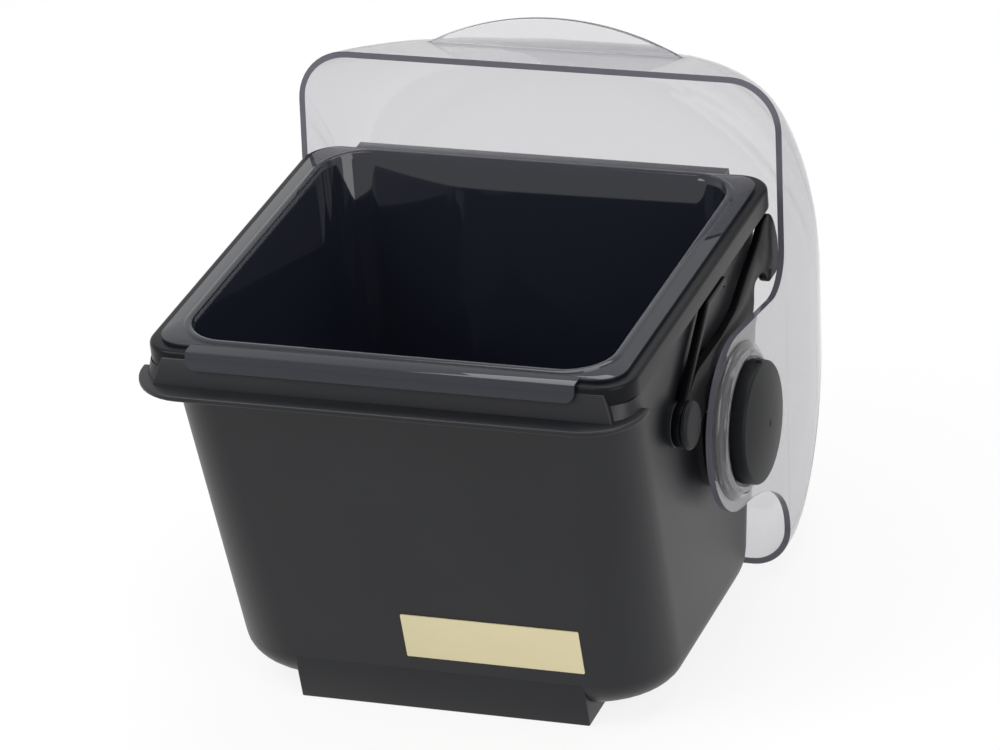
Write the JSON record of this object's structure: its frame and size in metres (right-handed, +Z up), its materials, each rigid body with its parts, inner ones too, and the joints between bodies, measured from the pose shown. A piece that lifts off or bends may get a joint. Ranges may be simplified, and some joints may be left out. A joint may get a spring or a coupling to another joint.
{
  "type": "bar garnish tray",
  "caption": "Countertop garnish caddy: tapered black bucket on a skirt foot, lift-out tinted insert, clear domed lid on side pivots, hanging hooks.",
  "frame": {"origin": "on the table under the middle of the bucket, where the foot's cross ribs meet", "axes": "+Z up, -Y towards the front brim and the user, +X to the right seen from the front"},
  "size_m": [0.1824, 0.2009, 0.1653],
  "materials": {
    "bucket_plastic": "satin moulded black",
    "insert_plastic": "clear smoke blue plastic",
    "lid_plastic": "clear light smoke plastic",
    "bracket_plastic": "satin moulded black",
    "cap_plastic": "soft gloss black",
    "screw_steel": "plain zinc-plated steel"
  },
  "bodies": {
    "bucket": {"outer_box": "bucket_plastic", "side_bracket_left": "bracket_plastic", "side_bracket_right": "bracket_plastic", "bracket_peg_left": "cap_plastic", "bracket_peg_right": "cap_plastic", "pivot_cap_left": "cap_plastic", "pivot_cap_right": "cap_plastic", "pivot_screw_left": "screw_steel", "pivot_screw_right": "screw_steel"},
    "insert": {"insert_tray": "insert_plastic"},
    "lid": {"dome_lid": "lid_plastic"}
  },
  "joints": [
    {"name": "lid_hinge", "type": "hinge", "parent": "bucket", "child": "lid", "pos_m": [0, 0.014, 0.0754], "axis": [1, 0, 0], "range_deg": [0, 99]},
    {"name": "insert_lift", "type": "slide", "parent": "bucket", "child": "insert", "axis": [0, 0, 1], "range_m": [0, 0.008]}
  ]
}
